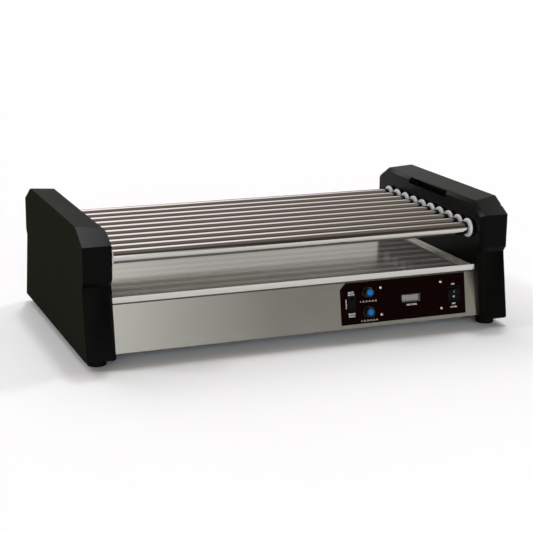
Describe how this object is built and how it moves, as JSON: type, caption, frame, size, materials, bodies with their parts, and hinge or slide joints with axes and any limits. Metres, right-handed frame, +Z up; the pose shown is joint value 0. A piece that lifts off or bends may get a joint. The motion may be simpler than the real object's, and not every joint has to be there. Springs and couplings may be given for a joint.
{
  "type": "roller grill",
  "caption": "Counter-top hot dog roller grill: driven chrome rollers between black end housings, over a pull-out drip tray and a slanted front panel with knobs, rocker switches and a display.",
  "frame": {"origin": "on the counter, under the middle of the machine", "axes": "+X to the right along the rollers, -Y towards the cook, +Z up"},
  "size_m": [0.85, 0.486, 0.2478],
  "materials": {
    "housing_black": "fine moulded grain",
    "cover_black": "fine moulded grain",
    "stainless": "brushed along the machine's width",
    "tray_stainless": "bright, finely brushed",
    "roller_chrome": "polished",
    "bush_white": "smooth",
    "plate_maroon": "glossy printed film",
    "screw_steel": "polished",
    "knob_black": "satin",
    "cap_blue": "satin",
    "switch_black": "satin",
    "window_clear": "clear",
    "display_grey": "matt",
    "board_green": "solder mask",
    "zinc_steel": "zinc plated",
    "chain_steel": "oiled",
    "rod_steel": "heat tinted",
    "motor_grey": "painted",
    "gland_black": "satin",
    "seal_rubber": "matt",
    "foot_rubber": "matt"
  },
  "bodies": {
    "machine": {"left_end_shell": "housing_black", "right_end_shell": "housing_black", "left_end_cover": "cover_black", "right_end_cover": "cover_black", "left_side_plate": "zinc_steel", "right_side_plate": "zinc_steel", "left_bushes": "bush_white", "right_bushes": "bush_white", "left_bush_seals": "seal_rubber", "right_bush_seals": "seal_rubber", "feet": "foot_rubber", "heating_rods": "rod_steel", "left_rod_bar": "zinc_steel", "right_rod_bar": "zinc_steel", "drive_chain": "chain_steel", "gear_motor": "motor_grey", "front_panel": "stainless", "rear_panel": "stainless", "cord_gland": "gland_black", "base_pan": "zinc_steel", "deck": "zinc_steel", "control_plate": "plate_maroon", "control_screws": "screw_steel", "control_board": "board_green", "display_module": "display_grey", "display_window": "window_clear", "zone_switch": "switch_black", "power_switch": "switch_black", "upper_heat_control": "zinc_steel", "lower_heat_control": "zinc_steel"},
    "roller_set_01": {"roller_01": "roller_chrome", "sprocket_01": "chain_steel"},
    "roller_set_02": {"roller_02": "roller_chrome", "sprocket_02": "chain_steel"},
    "roller_set_03": {"roller_03": "roller_chrome", "sprocket_03": "chain_steel"},
    "roller_set_04": {"roller_04": "roller_chrome", "sprocket_04": "chain_steel"},
    "roller_set_05": {"roller_05": "roller_chrome", "sprocket_05": "chain_steel"},
    "roller_set_06": {"roller_06": "roller_chrome", "sprocket_06": "chain_steel"},
    "roller_set_07": {"roller_07": "roller_chrome", "sprocket_07": "chain_steel"},
    "roller_set_08": {"roller_08": "roller_chrome", "sprocket_08": "chain_steel"},
    "roller_set_09": {"roller_09": "roller_chrome", "sprocket_09": "chain_steel"},
    "roller_set_10": {"roller_10": "roller_chrome", "sprocket_10": "chain_steel"},
    "motor_drive": {"motor_shaft": "chain_steel", "motor_sprocket": "chain_steel"},
    "upper_knob": {"upper_heat_knob": "knob_black", "upper_knob_cap": "cap_blue"},
    "lower_knob": {"lower_heat_knob": "knob_black", "lower_knob_cap": "cap_blue"},
    "zone_paddle": {"zone_rocker": "switch_black"},
    "power_paddle": {"power_rocker": "switch_black"},
    "tray": {"drip_tray": "tray_stainless"}
  },
  "joints": [
    {"name": "roller_01_spin", "type": "hinge", "parent": "machine", "child": "roller_set_01", "pos_m": [0, -0.18345, 0.1888], "axis": [1, 0, 0], "continuous": true, "deforming": ["drive_chain"]},
    {"name": "roller_02_spin", "type": "hinge", "parent": "machine", "child": "roller_set_02", "pos_m": [0, -0.14535, 0.1888], "axis": [1, 0, 0], "continuous": true},
    {"name": "roller_03_spin", "type": "hinge", "parent": "machine", "child": "roller_set_03", "pos_m": [0, -0.10725, 0.1888], "axis": [1, 0, 0], "continuous": true},
    {"name": "roller_04_spin", "type": "hinge", "parent": "machine", "child": "roller_set_04", "pos_m": [0, -0.06915, 0.1888], "axis": [1, 0, 0], "continuous": true},
    {"name": "roller_05_spin", "type": "hinge", "parent": "machine", "child": "roller_set_05", "pos_m": [0, -0.03105, 0.1888], "axis": [1, 0, 0], "continuous": true},
    {"name": "roller_06_spin", "type": "hinge", "parent": "machine", "child": "roller_set_06", "pos_m": [0, 0.00705, 0.1888], "axis": [1, 0, 0], "continuous": true},
    {"name": "roller_07_spin", "type": "hinge", "parent": "machine", "child": "roller_set_07", "pos_m": [0, 0.04515, 0.1888], "axis": [1, 0, 0], "continuous": true},
    {"name": "roller_08_spin", "type": "hinge", "parent": "machine", "child": "roller_set_08", "pos_m": [0, 0.08325, 0.1888], "axis": [1, 0, 0], "continuous": true},
    {"name": "roller_09_spin", "type": "hinge", "parent": "machine", "child": "roller_set_09", "pos_m": [0, 0.12135, 0.1888], "axis": [1, 0, 0], "continuous": true},
    {"name": "roller_10_spin", "type": "hinge", "parent": "machine", "child": "roller_set_10", "pos_m": [0, 0.15945, 0.1888], "axis": [1, 0, 0], "continuous": true},
    {"name": "motor_spin", "type": "hinge", "parent": "machine", "child": "motor_drive", "pos_m": [0, -0.012, 0.06832], "axis": [1, 0, 0], "continuous": true},
    {"name": "upper_knob_turn", "type": "hinge", "parent": "machine", "child": "upper_knob", "pos_m": [0.13, -0.21603, 0.08743], "axis": [0, 0.9834, -0.1815], "range_deg": [0, 270]},
    {"name": "lower_knob_turn", "type": "hinge", "parent": "machine", "child": "lower_knob", "pos_m": [0.13, -0.22285, 0.05045], "axis": [0, 0.9834, -0.1815], "range_deg": [0, 270]},
    {"name": "zone_rocker_tilt", "type": "hinge", "parent": "machine", "child": "zone_paddle", "pos_m": [0.0977, -0.21864, 0.06778], "axis": [-1, 0, 0], "range_deg": [0, 20]},
    {"name": "power_rocker_tilt", "type": "hinge", "parent": "machine", "child": "power_paddle", "pos_m": [0.316, -0.21864, 0.06778], "axis": [-1, 0, 0], "range_deg": [0, 20]},
    {"name": "tray_slide", "type": "slide", "parent": "machine", "child": "tray", "axis": [0, -1, 0], "range_m": [0, 0.38]}
  ],
  "couplings": [
    {"joint": "roller_02_spin", "follows": "roller_01_spin", "ratio": 1},
    {"joint": "roller_03_spin", "follows": "roller_01_spin", "ratio": 1},
    {"joint": "roller_04_spin", "follows": "roller_01_spin", "ratio": 1},
    {"joint": "roller_05_spin", "follows": "roller_01_spin", "ratio": 1},
    {"joint": "roller_06_spin", "follows": "roller_01_spin", "ratio": 1},
    {"joint": "roller_07_spin", "follows": "roller_01_spin", "ratio": 1},
    {"joint": "roller_08_spin", "follows": "roller_01_spin", "ratio": 1},
    {"joint": "roller_09_spin", "follows": "roller_01_spin", "ratio": 1},
    {"joint": "roller_10_spin", "follows": "roller_01_spin", "ratio": 1},
    {"joint": "motor_spin", "follows": "roller_01_spin", "ratio": 1}
  ]
}
